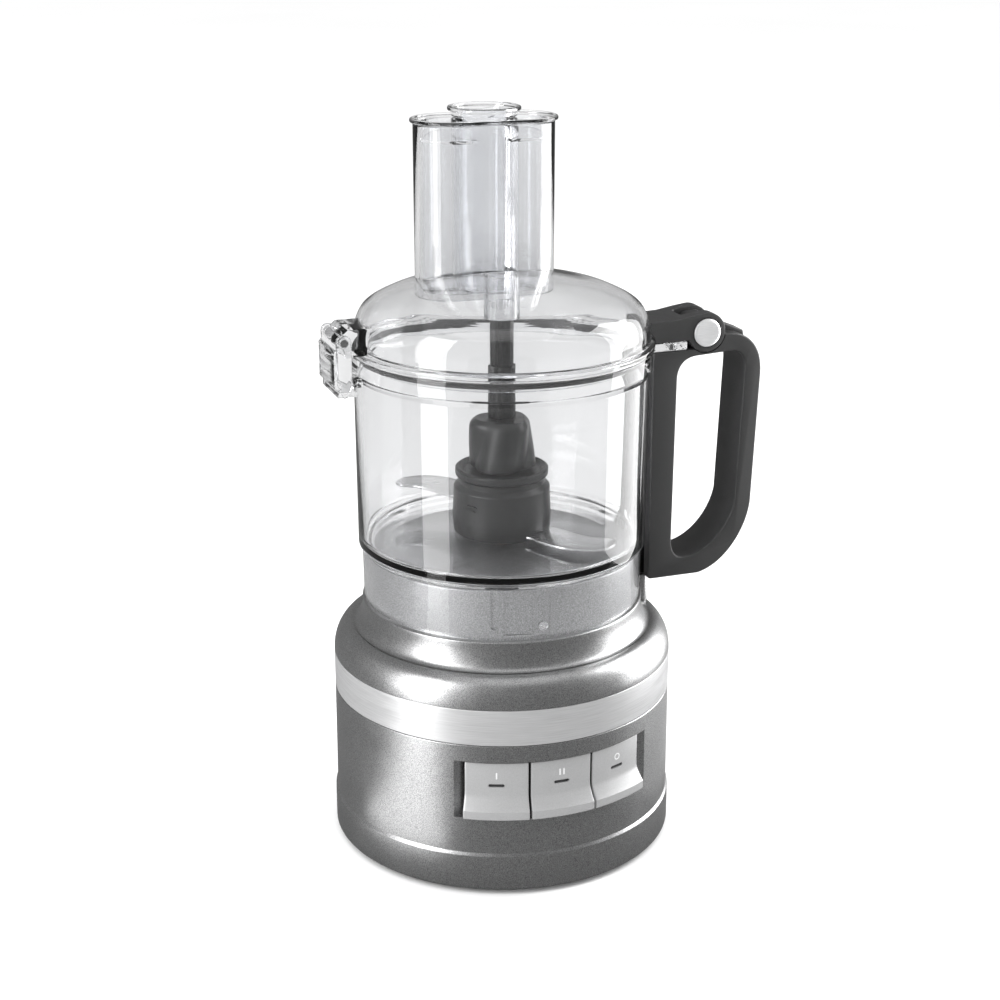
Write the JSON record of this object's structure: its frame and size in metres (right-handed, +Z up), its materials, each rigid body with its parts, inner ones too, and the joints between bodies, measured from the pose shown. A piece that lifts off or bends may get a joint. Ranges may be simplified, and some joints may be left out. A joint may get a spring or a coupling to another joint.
{
  "type": "food processor",
  "caption": "Countertop food processor: drum-shaped motor base with paddle buttons, clear bowl with side handle, chopping knife, hinged clear lid with feed chute, latch and nested pushers.",
  "frame": {"origin": "centre of the object's bounding box in plan, at the table surface under the feet; the spindle axis stands 25.85 mm towards -X of it", "axes": "+Z up, the front with the buttons faces -Y, the handle and lid hinge are at +X, the latch at -X"},
  "size_m": [0.2442, 0.1929, 0.399],
  "materials": {
    "silver_paint": "silver metallic paint on moulded plastic, satin lacquer",
    "brushed_band": "fine brushed, pale silver",
    "satin_grey": "satin mid-grey plastic",
    "soft_grey": "soft-touch dark grey plastic",
    "clear_plastic": "clear moulded polycarbonate-type plastic, polished",
    "black_plastic": "black plastic with fine pale speckle, satin",
    "steel": "brushed steel",
    "rubber": "dark elastomer",
    "nylon": "natural nylon",
    "bearing_bronze": "sintered bronze",
    "armature": "steel shaft and laminations with copper windings",
    "circuit_board": "green circuit board"
  },
  "bodies": {
    "base": {"base_housing": "silver_paint", "trim_band": "brushed_band", "shoulder_cover": "silver_paint", "bowl_seat": "silver_paint", "bottom_cover": "satin_grey", "foot_1": "rubber", "foot_2": "rubber", "foot_3": "rubber", "foot_4": "rubber", "cover_screw_1": "steel", "cover_screw_2": "steel", "cover_screw_3": "steel", "cover_screw_4": "steel", "cord_bush": "rubber", "button_bezel": "satin_grey", "switch_board": "circuit_board", "control_board": "circuit_board", "chassis_plate": "nylon", "motor_can": "steel", "spindle_bearing_lower": "bearing_bronze", "spindle_bearing_upper": "bearing_bronze", "interlock_post": "silver_paint", "interlock_switch": "black_plastic", "interlock_spring": "steel"},
    "plunger": {"interlock_plunger": "nylon"},
    "low_button": {"button_low": "satin_grey"},
    "high_button": {"button_high": "satin_grey"},
    "pulse_button": {"button_pulse": "satin_grey"},
    "rotor": {"motor_rotor": "armature", "motor_fan": "nylon", "motor_pinion": "steel"},
    "spindle": {"drive_spindle": "steel", "drive_coupling": "black_plastic", "driven_gear": "nylon"},
    "bowl_body": {"bowl": "clear_plastic", "handle_grip": "soft_grey", "strap_screw": "steel"},
    "rod_body": {"interlock_rod": "black_plastic"},
    "knife": {"blade_hub": "black_plastic", "blade_grip": "black_plastic", "blade_stem": "black_plastic", "upper_blade": "steel", "lower_blade": "steel"},
    "lid_body": {"lid": "clear_plastic", "lid_seal": "rubber", "hinge_arm": "soft_grey", "hinge_pin": "steel", "hinge_cap_front": "brushed_band", "hinge_cap_rear": "brushed_band", "latch_pin": "steel"},
    "latch_body": {"latch": "clear_plastic"},
    "large_pusher": {"pusher_large": "clear_plastic"},
    "small_pusher": {"pusher_small": "clear_plastic"}
  },
  "joints": [
    {"name": "spindle_spin", "type": "hinge", "parent": "base", "child": "spindle", "pos_m": [-0.02585, 0, 0.1], "axis": [0, 0, 1], "continuous": true},
    {"name": "motor_spin", "type": "hinge", "parent": "base", "child": "rotor", "pos_m": [-0.02585, 0.0503, 0.06], "axis": [0, 0, 1], "continuous": true},
    {"name": "bowl_lift", "type": "slide", "parent": "base", "child": "bowl_body", "axis": [0, 0, 1], "range_m": [0, 0.095]},
    {"name": "blade_spin", "type": "hinge", "parent": "bowl_body", "child": "knife", "pos_m": [-0.02585, 0, 0.2], "axis": [0, 0, 1], "continuous": true},
    {"name": "lid_open", "type": "hinge", "parent": "bowl_body", "child": "lid_body", "pos_m": [0.08815, 0, 0.277], "axis": [0, 1, 0], "range_deg": [0, 100]},
    {"name": "latch_flip", "type": "hinge", "parent": "lid_body", "child": "latch_body", "pos_m": [-0.11675, 0, 0.2885], "axis": [0, 1, 0], "range_deg": [0, 60]},
    {"name": "large_pusher_lift", "type": "slide", "parent": "lid_body", "child": "large_pusher", "axis": [0, 0, 1], "range_m": [0, 0.095]},
    {"name": "small_pusher_lift", "type": "slide", "parent": "large_pusher", "child": "small_pusher", "axis": [0, 0, 1], "range_m": [0, 0.095]},
    {"name": "rod_slide", "type": "slide", "parent": "bowl_body", "child": "rod_body", "axis": [0, 0, 1], "range_m": [0, 0.0025]},
    {"name": "plunger_slide", "type": "slide", "parent": "base", "child": "plunger", "axis": [0, 0, 1], "range_m": [0, 0.0025], "deforming": ["interlock_spring"]},
    {"name": "low_button_press", "type": "hinge", "parent": "base", "child": "low_button", "pos_m": [-0.05987, -0.08548, 0.0755], "axis": [0.9291, -0.3697, 0], "range_deg": [0, 3.5], "stiffness_Nm_per_rad": 0.6, "springref_deg": -2.86},
    {"name": "high_button_press", "type": "hinge", "parent": "base", "child": "high_button", "pos_m": [-0.02585, -0.092, 0.0755], "axis": [1, 0, 0], "range_deg": [0, 3.5], "stiffness_Nm_per_rad": 0.6, "springref_deg": -2.86},
    {"name": "pulse_button_press", "type": "hinge", "parent": "base", "child": "pulse_button", "pos_m": [0.00817, -0.08548, 0.0755], "axis": [0.9291, 0.3697, 0], "range_deg": [0, 3.5], "stiffness_Nm_per_rad": 0.6, "springref_deg": -2.86}
  ],
  "couplings": [
    {"joint": "motor_spin", "follows": "spindle_spin", "ratio": -4},
    {"joint": "blade_spin", "follows": "spindle_spin", "ratio": 1},
    {"joint": "rod_slide", "follows": "lid_open", "m_per_rad": 0.001375},
    {"joint": "plunger_slide", "follows": "lid_open", "m_per_rad": 0.001375}
  ]
}
